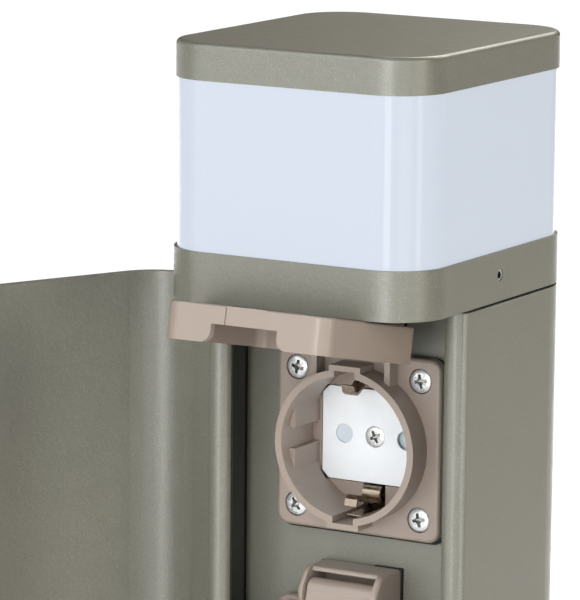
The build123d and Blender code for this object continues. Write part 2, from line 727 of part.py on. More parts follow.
for tag, zc, lid_open in SOCKETS:
    ax_z = zc + HINGE_UP
    arms = []
    for x, sgn in ((-12.15, -1), (10.4, 1)):
        with BuildPart() as arm:
            with BuildSketch(side(x)):
                with BuildLine():
                    ln1 = Line((BACK_Y, zc + 17.2), (BACK_Y, zc + 35.8))
                    ln2 = Line((BACK_Y, zc + 35.8), (-9.7, zc + 35.8))
                    ln3 = Spline((-9.7, zc + 35.8), (-13.4, zc + 33.2), (-15.3, zc + 29.2), tangents=[(-1, 0), (0, -1)])
                    ln4 = Spline((-15.3, zc + 29.2), (-14.6, zc + 26.7), (-12.4, zc + 24.8), tangents=[(0, -1), (1, -0.4)])
                    ln5 = Polyline((-12.4, zc + 24.8), (ARM_Y, zc + 24.8), (ARM_Y, zc + 17.2), (BACK_Y, zc + 17.2))
                make_face()
            extrude(amount=1.75)
            outer = arm.faces().sort_by(Axis.X)[0 if sgn < 0 else -1]
            soft = [e for e in outer.edges() if e.center().Y < BACK_Y - 0.5 and e.center().Z > zc + 24.0]
            fillet(soft, radius=1.0)
        arms.append(arm.part)

    with BuildPart() as socket_flange:
        with BuildSketch(facing(BACK_Y)):
            with Locations((0, zc)):
                RectangleRounded(FLANGE, FLANGE, FLANGE_R)
        extrude(amount=BACK_Y - FACE_Y)
        fillet(socket_flange.edges().group_by(Axis.Y)[0], radius=1.1)
        # hood that carries the lid
        with BuildSketch(facing(BACK_Y)):
            with Locations((0, zc + 28.0)):
                Rectangle(22.9, 14.4)
        extrude(amount=1.2)
        with BuildSketch(side(-11.0)):
            with BuildLine():
                Line((BACK_Y, zc + 34.6), (BACK_Y, zc + 35.8))
                Line((BACK_Y, zc + 35.8), (-8.9, zc + 35.8))
                ThreePointArc((-8.9, zc + 35.8), (-9.6, zc + 35.5), (-9.9, zc + 34.8))
                Line((-9.9, zc + 34.8), (-9.9, zc + 34.6))
                Line((-9.9, zc + 34.6), (BACK_Y, zc + 34.6))
            make_face()
        extrude(amount=22.0)
        for arm_part in arms:
            add(arm_part)
        # well
        with BuildSketch(facing(8.0)):
            with Locations((0, zc)):
                Circle(RING_RO)
        extrude(amount=8.0 - RING_Y)
        with BuildSketch(facing(BACK_Y)):
            with Locations((0, zc)):
                Rectangle(9.6, 44.8)
        extrude(amount=BACK_Y - RING_Y)
        with BuildSketch(facing(FLOOR_Y)):
            with Locations((0, zc)):
                Circle(RING_RI)
            with Locations((0, zc)):
                Rectangle(6.4, 41.8)
        extrude(amount=30, mode=Mode.SUBTRACT)
        # guide ribs in the well
        with BuildSketch(facing(FLOOR_Y)):
            with Locations((-18.9, zc + 6.3), (18.9, zc + 6.3), (-18.9, zc - 6.3), (18.9, zc - 6.3)):
                Rectangle(3.2, 6.8)
            with Locations((0, zc)):
                Circle(20.3, mode=Mode.INTERSECT)
        extrude(amount=FLOOR_Y + 8.0)
        # seat of the insert, slots of the earth clip, pin of the lid, screws
        with BuildSketch(facing(9.0)):
            with Locations((0, zc)):
                Rectangle(33.2, 26.4)
            with Locations((0, zc + 16.9), (0, zc - 16.9)):
                Rectangle(6.8, 7.8)
        extrude(amount=5, mode=Mode.SUBTRACT)
        with BuildSketch(side(-11.5)):
            with Locations((HINGE_Y, ax_z)):
                Circle(1.25)
        extrude(amount=23, mode=Mode.SUBTRACT)
        with BuildSketch(facing(9.0)):
            with Locations((0, zc)):
                with GridLocations(2 * SCREW, 2 * SCREW, 2, 2):
                    Circle(1.8)
        extrude(amount=15, mode=Mode.SUBTRACT)
        with BuildSketch(facing(-2.45)):
            with Locations((0, zc)):
                with GridLocations(2 * SCREW, 2 * SCREW, 2, 2):
                    Circle(3.5)
        extrude(amount=5, mode=Mode.SUBTRACT)
    socket_flange.part.label = tag + "_socket_flange"
    export_step(socket_flange.part, "parts/" + tag + "_socket_flange.step")

    with BuildPart() as socket_gasket:
        with BuildSketch(facing(0.0)):
            with Locations((0, zc - 0.6)):
                RectangleRounded(FLANGE + 0.8, FLANGE + 0.6, FLANGE_R)
            with Locations((0, zc + 28.2)):
                Rectangle(24.9, 14.6)
            with Locations((8.2, zc + 28.4)):
                Rectangle(8.5, 15.2)
            with Locations((0, zc)):
                Circle(21.9, mode=Mode.SUBTRACT)
            with Locations((0, zc)):
                with GridLocations(2 * SCREW, 2 * SCREW, 2, 2):
                    Circle(1.8, mode=Mode.SUBTRACT)
        extrude(amount=-BACK_Y)
    socket_gasket.part.label = tag + "_socket_gasket"
    export_step(socket_gasket.part, "parts/" + tag + "_socket_gasket.step")

    corners = [(-SCREW, zc + SCREW), (SCREW, zc + SCREW), (-SCREW, zc - SCREW), (SCREW, zc - SCREW)]
    with BuildPart() as flange_screws:
        with BuildSketch(facing(-2.5)):
            with Locations(*corners):
                Circle(3.15)
        extrude(amount=2.3)
        fillet(flange_screws.edges().filter_by(GeomType.CIRCLE).group_by(Axis.Y)[0], radius=1.2)
        with BuildSketch(facing(6.5)):
            with Locations(*corners):
                Circle(1.5)
        extrude(amount=9.0)
        with BuildSketch(facing(-3.7)):
            cross(corners, (-10, 12, 35, 8), 3.8, 0.9)
        extrude(amount=2, mode=Mode.SUBTRACT)
    flange_screws.part.label = tag + "_flange_screws"
    export_step(flange_screws.part, "parts/" + tag + "_flange_screws.step")

    with BuildPart() as insert:
        with BuildSketch(facing(7.85)):
            with Locations((0, zc)):
                Rectangle(32.6, 25.8)
            chamfer(vertices(), length=2.0)
        extrude(amount=2.5)
        # hollow for the shutter behind a thin front, hub round the screw
        with BuildSketch(facing(9.0)):
            with Locations((0, zc)):
                RectangleRounded(27.2, 20.4, 3)
                Circle(4.2, mode=Mode.SUBTRACT)
        extrude(amount=3.05, mode=Mode.SUBTRACT)
        with BuildSketch(facing(9.0)):
            with Locations((-PIN_X, zc), (PIN_X, zc)):
                Circle(PIN_R)
            with Locations((0, zc)):
                Circle(1.6)
        extrude(amount=5, mode=Mode.SUBTRACT)
        with BuildSketch(facing(6.85)):
            with Locations((0, zc)):
                Circle(3.0)
        extrude(amount=3, mode=Mode.SUBTRACT)
    insert.part.label = tag + "_insert"
    export_step(insert.part, "parts/" + tag + "_insert.step")

    with BuildPart() as insert_screw:
        with BuildSketch(facing(6.8)):
            with Locations((0, zc)):
                Circle(2.88)
        extrude(amount=1.6)
        fillet(insert_screw.edges().filter_by(GeomType.CIRCLE).group_by(Axis.Y)[0], radius=0.7)
        with BuildSketch(facing(20.0)):
            with Locations((0, zc)):
                Circle(1.5)
        extrude(amount=13.3)
        with BuildSketch(facing(6.1)):
            cross([(0, zc)], (28,), 3.6, 0.85)
        extrude(amount=2, mode=Mode.SUBTRACT)
    insert_screw.part.label = tag + "_insert_screw"
    export_step(insert_screw.part, "parts/" + tag + "_insert_screw.step")

    # turning shutter; its left wing lies close behind the front, the right one deeper
    with BuildPart() as shutter:
        with BuildSketch(facing(8.4)):
            with Locations((0, zc)):
                Circle(6.4)
            with Locations((-PIN_X / 2, zc)):
                Rectangle(PIN_X, 3.6)
            with Locations((-PIN_X, zc)):
                Circle(3.4)
            with Locations((0, zc)):
                Circle(4.27, mode=Mode.SUBTRACT)
        extrude(amount=2.35)
        with BuildSketch(facing(9.4)):
            with Locations((0, zc)):
                Circle(6.4)
            with Locations((PIN_X / 2, zc)):
                Rectangle(PIN_X, 3.6)
            with Locations((PIN_X, zc)):
                Circle(3.4)
            with Locations((0, zc)):
                Circle(4.27, mode=Mode.SUBTRACT)
        extrude(amount=2.2)
    shutter.part.label = tag + "_shutter"
    export_step(shutter.part, "parts/" + tag + "_shutter.step")

    with BuildPart() as rear_housing:
        with BuildSketch(facing(33.0)):
            with Locations((0, zc)):
                RectangleRounded(36.0, 34.0, 3)
        extrude(amount=25.0)
        with BuildSketch(facing(10.9)):
            with Locations((0, zc)):
                Circle(14.2)
        extrude(amount=5, mode=Mode.SUBTRACT)
        with BuildSketch(facing(30.0)):
            with Locations((-PIN_X, zc), (PIN_X, zc)):
                Circle(4.2)
        extrude(amount=25, mode=Mode.SUBTRACT)
        with BuildSketch(facing(21.0)):
            with Locations((0, zc)):
                Circle(1.55)
        extrude(amount=15, mode=Mode.SUBTRACT)
    rear_housing.part.label = tag + "_rear_housing"
    export_step(rear_housing.part, "parts/" + tag + "_rear_housing.step")

    with BuildPart() as pin_contacts:
        with BuildSketch(facing(29.8)):
            with Locations((-PIN_X, zc), (PIN_X, zc)):
                Circle(4.0)
        extrude(amount=17.8)
        with BuildSketch(facing(28.0)):
            with Locations((-PIN_X, zc), (PIN_X, zc)):
                Circle(2.45)
        extrude(amount=20, mode=Mode.SUBTRACT)
        with BuildSketch(facing(22.0)):
            with Locations((-PIN_X, zc), (PIN_X, zc)):
                Rectangle(0.8, 9)
        extrude(amount=12, mode=Mode.SUBTRACT)
    pin_contacts.part.label = tag + "_pin_contacts"
    export_step(pin_contacts.part, "parts/" + tag + "_pin_contacts.step")

    # earth clip: two sprung fingers in the well, narrower than the rolls at their
    # roots and set off to either side, joined behind the housing
    with BuildPart() as earth_clip:
        for k, off in ((-1, -1.2), (1, -2.5)):
            with BuildSketch(side(off)):
                strip([(4.6, zc + k * 17.4), (-1.0, zc + k * 16.6), (-5.4, zc + k * 14.4), (-6.9, zc + k * 13.97),
                       (-8.2, zc + k * 14.8), (-8.7, zc + k * 16.4)], 0.7)
            extrude(amount=3.7)
        with BuildSketch(side(-2.7)):
            for k in (-1, 1):
                with Locations((5.6, zc + k * 15.7)):
                    Circle(2.3)
                    Circle(1.6, mode=Mode.SUBTRACT)
                strip([(6.6, zc + k * 17.4), (9.4, zc + k * 20.0), (33.9, zc + k * 20.0)], 0.7)
                strip([(9.4, zc + k * 20.0), (-4.5, zc + k * 20.0)], 0.7)
            strip([(33.9, zc - 20.0), (33.9, zc + 20.0)], 0.7)
        extrude(amount=5.4)
    earth_clip.part.label = tag + "_earth_clip"
    export_step(earth_clip.part, "parts/" + tag + "_earth_clip.step")

    # lid, made shut and swung up about its pin
    lo = math.radians(lid_open)
    out_dir = (0.0, -math.cos(lo), math.sin(lo))
    far_dir = (0.0, -math.sin(lo), -math.cos(lo))
    lid_face = Plane(origin=(0, HINGE_Y, ax_z), x_dir=(1, 0, 0), z_dir=out_dir)
    lid_side = Plane(origin=(0, HINGE_Y, ax_z), x_dir=out_dir, z_dir=(1, 0, 0))
    mid = -(LID_NEAR + LID_FAR) / 2
    length = LID_FAR - LID_NEAR
    with BuildPart() as lid:
        with BuildSketch(lid_face.offset(LID_IN)):
            with Locations((0, mid)):
                RectangleRounded(LID_W, length, 5.0)
        extrude(amount=LID_OUT - LID_IN)
        fillet(lid.faces().sort_by(Axis((0, HINGE_Y, ax_z), out_dir))[-1].edges(), radius=0.6)
        with BuildSketch(lid_face.offset(LID_IN)):
            with Locations((0, mid)):
                RectangleRounded(LID_W - 4, length - 4, 3.0)
        extrude(amount=2.95 - LID_IN, mode=Mode.SUBTRACT)
        # relief over the ring's top boss, and rim cut back next to the pin
        with BuildSketch(lid_face.offset(LID_IN)):
            with Locations((0, -8.0)):
                Rectangle(12.0, 3.2)
        extrude(amount=2.95 - LID_IN, mode=Mode.SUBTRACT)
        with BuildSketch(lid_face.offset(LID_IN)):
            with Locations((0, -7.0)):
                Rectangle(25.4, 3.4)
        extrude(amount=4.0, mode=Mode.SUBTRACT)
        # barrel on the pin
        with BuildSketch(lid_side.offset(-9.9)):
            with BuildLine():
                Polyline((3.2, 0), (4.95, 5.9), (-0.9, 5.9), (-0.9, 4.0), (-3.2, 0.0), (3.2, 0))
            make_face()
            Circle(3.2)
        extrude(amount=19.8)
        # thumb notch in the free edge, with softened corners
        with BuildSketch(lid_face.offset(LID_IN)):
            with Locations((0, -LID_FAR + 1.0)):
                Rectangle(19.7, 6.0)
        extrude(amount=5.0, mode=Mode.SUBTRACT)
        with BuildSketch(Plane(origin=(0, HINGE_Y + far_dir[1] * (LID_FAR - 2.2), ax_z + far_dir[2] * (LID_FAR - 2.2)), x_dir=(1, 0, 0), z_dir=far_dir)):
            for sx in (-1, 1):
                with BuildLine():
                    Line((sx * 9.85, LID_IN), (sx * 12.85, LID_IN))
                    ThreePointArc((sx * 12.85, LID_IN), (sx * 10.729, LID_IN + 0.879), (sx * 9.85, LID_IN + 3.0))
                    Line((sx * 9.85, LID_IN + 3.0), (sx * 9.85, LID_IN))
                make_face()
        extrude(amount=3.0, mode=Mode.SUBTRACT)
        # shallow recess on the free edge above the notch
        with BuildSketch(lid_face.offset(0.0)):
            with Locations((0, -LID_FAR)):
                Rectangle(12.0, 0.8)
        extrude(amount=LID_OUT + 1, mode=Mode.SUBTRACT)
        with BuildSketch(lid_side.offset(-12)):
            Circle(1.06)
        extrude(amount=24, mode=Mode.SUBTRACT)
    lid.part.label = tag + "_lid"
    export_step(lid.part, "parts/" + tag + "_lid.step")

    with BuildPart() as lid_seal:
        with BuildSketch(lid_face.offset(1.65)):
            with Locations((0, -HINGE_UP)):
                Circle(21.4)
                Circle(18.6, mode=Mode.SUBTRACT)
        extrude(amount=1.3)
    lid_seal.part.label = tag + "_lid_seal"
    export_step(lid_seal.part, "parts/" + tag + "_lid_seal.step")

    with BuildPart() as lid_pin:
        with BuildSketch(side(-11.3)):
            with Locations((HINGE_Y, ax_z)):
                Circle(1.0)
        extrude(amount=22.6)
    lid_pin.part.label = tag + "_lid_pin"
    export_step(lid_pin.part, "parts/" + tag + "_lid_pin.step")
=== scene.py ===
import json
import math

import bmesh
import bpy
from mathutils import Matrix, Vector


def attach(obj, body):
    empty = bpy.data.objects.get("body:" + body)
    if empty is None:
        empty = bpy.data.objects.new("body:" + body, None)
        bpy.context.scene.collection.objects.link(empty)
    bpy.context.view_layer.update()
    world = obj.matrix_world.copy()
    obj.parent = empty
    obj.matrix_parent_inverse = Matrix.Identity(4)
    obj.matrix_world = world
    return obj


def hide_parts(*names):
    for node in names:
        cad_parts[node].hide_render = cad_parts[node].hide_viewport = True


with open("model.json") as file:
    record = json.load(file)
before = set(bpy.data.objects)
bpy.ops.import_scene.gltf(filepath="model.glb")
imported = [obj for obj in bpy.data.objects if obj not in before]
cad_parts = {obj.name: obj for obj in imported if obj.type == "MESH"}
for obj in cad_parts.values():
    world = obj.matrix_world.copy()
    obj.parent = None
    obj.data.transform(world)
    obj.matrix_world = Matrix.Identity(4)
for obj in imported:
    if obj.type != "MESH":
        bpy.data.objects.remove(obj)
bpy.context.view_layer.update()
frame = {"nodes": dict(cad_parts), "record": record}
NODES = frame["nodes"]

MM = 0.001
CZ = 431.5                       # underside of the collar, mm


# ---------------------------------------------------------------- materials
def new_mat(name):
    m = bpy.data.materials.new(name)
    m.use_nodes = True
    nt = m.node_tree
    bsdf = nt.nodes.get("Principled BSDF")
    return m, nt, bsdf


def node(nt, kind, **vals):
    n = nt.nodes.new(kind)
    for k, v in vals.items():
        setattr(n, k, v)
    return n


def coords(nt, scale=(1, 1, 1)):
    tc = node(nt, "ShaderNodeTexCoord")
    mp = node(nt, "ShaderNodeMapping")
    mp.inputs["Scale"].default_value = scale
    nt.links.new(tc.outputs["Object"], mp.inputs["Vector"])
    return mp.outputs["Vector"]


def noise(nt, vec, scale, detail=2.0, rough=0.5):
    n = node(nt, "ShaderNodeTexNoise")
    n.inputs["Scale"].default_value = scale
    n.inputs["Detail"].default_value = detail
    n.inputs["Roughness"].default_value = rough
    nt.links.new(vec, n.inputs["Vector"])
    return n.outputs["Fac"]


def ramp(nt, fac, stops):
    r = node(nt, "ShaderNodeValToRGB")
    cr = r.color_ramp
    while len(cr.elements) > len(stops):
        cr.elements.remove(cr.elements[-1])
    while len(cr.elements) < len(stops):
        cr.elements.new(0.5)
    for e, (p, c) in zip(cr.elements, stops):
        e.position = p
        e.color = (c[0], c[1], c[2], 1.0) if hasattr(c, "__len__") else (c, c, c, 1.0)
    nt.links.new(fac, r.inputs["Fac"])
    return r.outputs["Color"]


def bump(nt, height, strength, distance, prev=None):
    b = node(nt, "ShaderNodeBump")
    b.inputs["Strength"].default_value = strength
    b.inputs["Distance"].default_value = distance
    nt.links.new(height, b.inputs["Height"])
    if prev is not None:
        nt.links.new(prev, b.inputs["Normal"])
    return b.outputs["Normal"]


def mix_col(nt, fac, a, b, mode="MIX"):
    m = node(nt, "ShaderNodeMix", data_type="RGBA", blend_type=mode)
    for sock, val in ((m.inputs[0], fac), (m.inputs[6], a), (m.inputs[7], b)):
        if hasattr(val, "is_linked") or hasattr(val, "links"):
            nt.links.new(val, sock)
        elif hasattr(val, "__len__"):
            sock.default_value = (val[0], val[1], val[2], 1.0)
        else:
            sock.default_value = val
    return m.outputs[2]


def powder_coat(name="bronze_coat_fine", tone=((0.152, 0.149, 0.114), (0.163, 0.160, 0.124)), spec=0.95, fleck=(0.30, 0.295, 0.25)):
    """Olive-grey powder coat: fine orange peel, faint cloudiness and small metallic flakes."""
    m, nt, b = new_mat(name)
    v = coords(nt)
    flakes = noise(nt, v, 4200.0, 0.0, 0.4)
    cloud = noise(nt, v, 240.0, 3.0, 0.55)
    grain = noise(nt, v, 1900.0, 1.5, 0.5)
    peel = noise(nt, v, 700.0, 1.0, 0.5)
    base = ramp(nt, cloud, ((0.30, tone[0]), (0.70, tone[1])))
    spark = ramp(nt, flakes, ((0.60, 0.0), (0.76, 0.55)))
    col = mix_col(nt, spark, base, fleck)
    nt.links.new(col, b.inputs["Base Color"])
    b.inputs["Metallic"].default_value = 0.10
    b.inputs["Specular IOR Level"].default_value = spec
    rr = ramp(nt, cloud, ((0.3, 0.36), (0.7, 0.42)))
    nt.links.new(rr, b.inputs["Roughness"])
    n1 = bump(nt, peel, 0.22, 0.00020)
    n2 = bump(nt, grain, 0.30, 0.00008, n1)
    nt.links.new(n2, b.inputs["Normal"])
    return m


def opal():
    """Opal acrylic: glossy skin over a milky, faintly blue body. Most of its brightness is painted light: a faint-blue
    glow that stands in for the studio light shining through the diffuser, dimmed towards the silhouette.
    """
    m, nt, b = new_mat("opal_fine")
    v = coords(nt)
    c = noise(nt, v, 14.0, 2.0, 0.5)
    col = ramp(nt, c, ((0.3, (0.108, 0.120, 0.132)), (0.7, (0.113, 0.125, 0.137))))
    nt.links.new(col, b.inputs["Base Color"])
    b.inputs["Roughness"].default_value = 0.10
    b.inputs["IOR"].default_value = 1.49
    b.inputs["Subsurface Weight"].default_value = 0.15
    b.inputs["Subsurface Radius"].default_value = (0.004, 0.0045, 0.006)
    b.inputs["Specular IOR Level"].default_value = 0.14
    # painted light: the glow below replaces the lit body colour, and the layer weight ramp dims it towards grazing
    # edges as painted shade
    lw = node(nt, "ShaderNodeLayerWeight")
    lw.inputs["Blend"].default_value = 0.5
    rim = ((0.30, 1.0), (0.50, 0.96), (0.665, 0.86), (0.80, 0.72), (0.87, 0.48))
    glow = ramp(nt, lw.outputs["Facing"], [(at, (0.76 * k, 0.825 * k, 0.93 * k)) for at, k in rim])
    nt.links.new(glow, b.inputs["Emission Color"])
    b.inputs["Emission Strength"].default_value = 0.69
    wav = noise(nt, v, 45.0, 2.0, 0.5)
    nt.links.new(bump(nt, wav, 0.04, 0.0001), b.inputs["Normal"])
    return m


def plastic(name, c0, c1, rough=0.42, grain_scale=1800.0, grain=0.12, spec=0.5):
    """Moulded plastic with a slight colour drift and an eroded-steel grain."""
    m, nt, b = new_mat(name)
    v = coords(nt)
    drift = noise(nt, v, 90.0, 3.0, 0.6)
    g = noise(nt, v, grain_scale, 2.0, 0.5)
    nt.links.new(ramp(nt, drift, ((0.32, c0), (0.68, c1))), b.inputs["Base Color"])
    nt.links.new(ramp(nt, g, ((0.3, max(rough - 0.05, 0.02)), (0.7, rough + 0.06))), b.inputs["Roughness"])
    b.inputs["Specular IOR Level"].default_value = spec
    nt.links.new(bump(nt, g, grain, 0.00008), b.inputs["Normal"])
    return m


def metal(name, c0, c1, rough=0.28, scale=(400.0, 400.0, 400.0), strength=0.10, metallic=1.0):
    m, nt, b = new_mat(name)
    v = coords(nt, scale)
    g = noise(nt, v, 4.0, 4.0, 0.6)
    nt.links.new(ramp(nt, g, ((0.3, c0), (0.7, c1))), b.inputs["Base Color"])
    b.inputs["Metallic"].default_value = metallic
    nt.links.new(ramp(nt, g, ((0.3, max(rough - 0.07, 0.03)), (0.7, rough + 0.08))), b.inputs["Roughness"])
    nt.links.new(bump(nt, g, strength, 0.00006), b.inputs["Normal"])
    return m


MATS = {
    "bronze_coat": powder_coat(),
    "opal": opal(),
    "socket_plastic": plastic("socket_plastic_fine", (0.293, 0.234, 0.192), (0.303, 0.243, 0.200), 0.33, 2600.0, 0.020),
    "insert_white": plastic("insert_white_fine", (0.80, 0.82, 0.83), (0.85, 0.865, 0.875), 0.34, 1500.0, 0.04),
    "shutter_blue": plastic("shutter_blue_fine", (0.56, 0.615, 0.655), (0.61, 0.665, 0.705), 0.35, 1500.0, 0.05),
    "black_rubber": plastic("black_rubber_fine", (0.008, 0.008, 0.008), (0.016, 0.016, 0.015), 0.65, 900.0, 0.25, 0.3),
    "black_plastic": plastic("black_plastic_fine", (0.018, 0.018, 0.019), (0.030, 0.030, 0.031), 0.45, 1500.0, 0.12),
    "grey_plastic": plastic("grey_plastic_fine", (0.26, 0.27, 0.28), (0.31, 0.32, 0.33), 0.45, 1500.0, 0.12),
    "white_case": plastic("white_case_fine", (0.70, 0.70, 0.68), (0.76, 0.76, 0.74), 0.45, 1200.0, 0.10),
    "board_white": plastic("board_white_fine", (0.74, 0.76, 0.75), (0.80, 0.81, 0.80), 0.35, 1200.0, 0.05),
    "led_yellow": plastic("led_yellow_fine", (0.80, 0.62, 0.14), (0.86, 0.70, 0.20), 0.22, 1200.0, 0.03),
    "zinc_steel": metal("zinc_steel_fine", (0.70, 0.70, 0.685), (0.80, 0.80, 0.785), 0.30, (90.0, 90.0, 90.0), 0.02, 0.62),
    "galvanised": metal("galvanised_fine", (0.50, 0.51, 0.52), (0.66, 0.67, 0.68), 0.40, (120.0, 120.0, 120.0)),
    "brass": metal("brass_fine", (0.62, 0.47, 0.20), (0.72, 0.56, 0.27), 0.28),
    "nickel_brass": metal("nickel_brass_fine", (0.27, 0.220, 0.166), (0.34, 0.280, 0.217), 0.27, (90.0, 90.0, 90.0), 0.02),
    "bare_aluminium": metal("bare_aluminium_fine", (0.66, 0.67, 0.68), (0.76, 0.765, 0.77), 0.36, (60.0, 900.0, 60.0)),
    "chromed": metal("chromed_fine", (0.72, 0.73, 0.74), (0.80, 0.80, 0.81), 0.12),
}

# painted shade: a near-black copy of the powder coat, laid where shade falls on the post's inner walls and in the set
# screws' hexagon sockets
PAINTED_SHADE_COAT = powder_coat("bronze_coat_painted_shade", ((0.016, 0.016, 0.012), (0.021, 0.021, 0.016)), 0.25, (0.03, 0.03, 0.025))
# painted shade: a darker steel for the floors and walls of the screws' cross recesses
RECESS_PAINTED_SHADE = metal("recess_steel_painted_shade", (0.34, 0.338, 0.325), (0.46, 0.457, 0.44), 0.26, (90.0, 90.0, 90.0), 0.02, 0.9)
SLOT_OF = {s["node"]: s["material_slot"] for s in frame["record"]["subparts"]}
for name, ob in NODES.items():
    mat = MATS[SLOT_OF[name]]
    ob.data.materials.clear()
    ob.data.materials.append(mat)
    for p in ob.data.polygons:
        p.material_index = 0

# painted shade: a near-black copy of the coat on the inner walls of the post's channel, where shade falls
post = NODES["post_body"].data
post.materials.append(PAINTED_SHADE_COAT)
for p in post.polygons:
    c, n = p.center, p.normal
    if abs(c.x) < 0.0388 and -0.0150 < c.y < 0.0400 and n.x * c.x < -0.3 * abs(c.x):
        p.material_index = 1


# the hexagon sockets of the set screws, painted near-black as painted shade inside the hollow
sets = NODES["collar_set_screws"].data
sets.materials.append(PAINTED_SHADE_COAT)
for p in sets.polygons:
    if abs(p.center.x) < 0.0395 and math.hypot(p.center.y - 0.0005, p.center.z - (CZ + 6.96) * MM) < 0.00115:
        p.material_index = 1


def soften(names, width, segments=2, angle=32):
    """A small rounding on the sharp edges of CAD nodes, so that they catch the light."""
    for n in names:
        ob = NODES[n]
        bv = ob.modifiers.new("soft_edges", "BEVEL")
        bv.width = width * MM
        bv.segments = segments
        bv.limit_method = "ANGLE"
        bv.angle_limit = math.radians(angle)
        bv.use_clamp_overlap = True
        bv.miter_outer = "MITER_ARC"
        bv.harden_normals = False


# ---------------------------------------------------------------- recessed screw heads
def smooth(t):
    t = max(0.0, min(1.0, t))
    return t * t * (3.0 - 2.0 * t)


def screw_mesh(bm, x, y, z, r, rise, edge, turn, shank, tip, rings=40, segs=144):
    """One raised screw head that looks along -Y, with a tapered cross recess and its four fine ticks.

    y is the seat, rise the dome's height over the seat, edge the height of the rim, tip the shank's end."""
    ca, sa = math.cos(math.radians(turn)), math.sin(math.radians(turn))

    def height(u, v):
        rho = math.hypot(u, v) / r
        h = edge + (rise - edge) * math.sqrt(max(0.0, 1.0 - min(1.0, rho) ** 3.4))
        a, b = u * ca + v * sa, -u * sa + v * ca
        arm, half = 0.60 * r, 0.135 * r

        def bar(p, q):
            taper = half * (1.0 - 0.25 * abs(p) / arm)
            return smooth((arm - abs(p)) / (0.10 * r)) * smooth((taper - abs(q)) / (0.055 * r) + 0.5)

        cut = max(bar(a, b), bar(b, a)) * (0.58 * r)
        hub = smooth((0.27 * r - math.hypot(a, b)) / (0.07 * r) + 0.5) * 0.62 * r
        tick = 0.0
        for s in (a - b, a + b):
            q = abs(s) / 1.41421
            if 0.30 * r < math.hypot(a, b) < 0.66 * r:
                tick = max(tick, smooth((0.035 * r - q) / (0.03 * r) + 0.5) * 0.07 * r)
        depth = max(cut, hub, tick)
        return h - depth, depth

    loops, sunk = [], []
    centre = bm.verts.new((x * MM, (y - height(0.0, 0.0)[0]) * MM, z * MM))
    for i in range(1, rings + 1):
        rho = r * i / rings
        loop, row = [], []
        for k in range(segs):
            t = 2.0 * math.pi * k / segs
            u, v = rho * math.cos(t), rho * math.sin(t)
            h, depth = height(u, v)
            loop.append(bm.verts.new(((x + u) * MM, (y - h) * MM, (z + v) * MM)))
            row.append(depth)
        loops.append(loop)
        sunk.append(row)
    for rad, yy in ((r, y), (shank, y), (shank, tip - 0.5), (shank * 0.6, tip)):
        loop = []
        for k in range(segs):
            t = 2.0 * math.pi * k / segs
            loop.append(bm.verts.new(((x + rad * math.cos(t)) * MM, yy * MM, (z + rad * math.sin(t)) * MM)))
        loops.append(loop)
    end = bm.verts.new((x * MM, tip * MM, z * MM))
    # the centre and the faces deep in the cross recess take slot 1, the darker steel painted as shade
    for k in range(segs):
        n = (k + 1) % segs
        bm.faces.new((centre, loops[0][k], loops[0][n])).material_index = 1
        bm.faces.new((end, loops[-1][n], loops[-1][k]))
        for i, (a, b) in enumerate(zip(loops, loops[1:])):
            f = bm.faces.new((a[k], b[k], b[n], a[n]))
            if i + 1 < rings and (sunk[i][k] + sunk[i + 1][n]) / 2.0 > 0.10 * r:
                f.material_index = 1


def screws(name, stands_for, rows):
    bm = bmesh.new()
    for row in rows:
        screw_mesh(bm, *row)
    bmesh.ops.recalc_face_normals(bm, faces=bm.faces)
    me = bpy.data.meshes.new(name)
    bm.to_mesh(me)
    bm.free()
    for p in me.polygons:
        p.use_smooth = True
    me.materials.append(MATS["zinc_steel"])
    me.materials.append(RECESS_PAINTED_SHADE)
    ob = bpy.data.objects.new(name, me)
    bpy.context.scene.collection.objects.link(ob)
    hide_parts(stands_for)
    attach(ob, "post")
    return ob


for tag, zc, turns in (("upper", CZ - 42.25, (-12, 10, 35, 12)), ("lower", CZ - 112.25, (20, -8, 5, 30))):
    at = ((-19.0, 19.0), (19.0, 19.0), (-19.0, -19.0), (19.0, -19.0))
    screws(tag + "_flange_screws_fine", tag + "_flange_screws",
           [(dx, -2.5, zc + dz, 3.3, 1.95, 1.0, turn, 1.5, 6.5) for (dx, dz), turn in zip(at, turns)])
    screws(tag + "_insert_screw_fine", tag + "_insert_screw",
           [(0.0, 6.8, zc, 2.93, 1.62, 1.1, 26, 1.5, 20.0)])


# ---------------------------------------------------------------- camera
cam_data = bpy.data.cameras.new("camera")
cam = bpy.data.objects.new("camera", cam_data)
bpy.context.scene.collection.objects.link(cam)
right = Vector((0.86302, 0.50509, 0.00962)).normalized()
fwd = Vector((-0.49576, 0.85043, -0.17605)).normalized()
up = right.cross(fwd).normalized()
rot = Matrix((right, up, -fwd)).transposed().to_4x4()
cam.matrix_world = Matrix.Translation(Vector((0.55708, -0.99680, (200.36 + CZ) * MM))) @ rot
cam_data.sensor_fit = "AUTO"
cam_data.sensor_width = 36.0
cam_data.lens = 258.52
cam_data.clip_start = 0.05
cam_data.clip_end = 60.0
bpy.context.scene.camera = cam


# ---------------------------------------------------------------- floor and light
def floor():
    me = bpy.data.meshes.new("floor")
    s = 14.0
    me.from_pydata([(-s, -s, -0.0005), (s, -s, -0.0005), (s, s, -0.0005), (-s, s, -0.0005)], [], [(0, 1, 2, 3)])
    ob = bpy.data.objects.new("floor", me)
    bpy.context.scene.collection.objects.link(ob)
    m, nt, b = new_mat("floor_pale")
    v = coords(nt)
    g = noise(nt, v, 3.0, 3.0, 0.5)
    nt.links.new(ramp(nt, g, ((0.3, 0.88), (0.7, 0.90))), b.inputs["Base Color"])
    b.inputs["Roughness"].default_value = 0.9
    b.inputs["Specular IOR Level"].default_value = 0.1
    me.materials.append(m)
    return ob


floor()


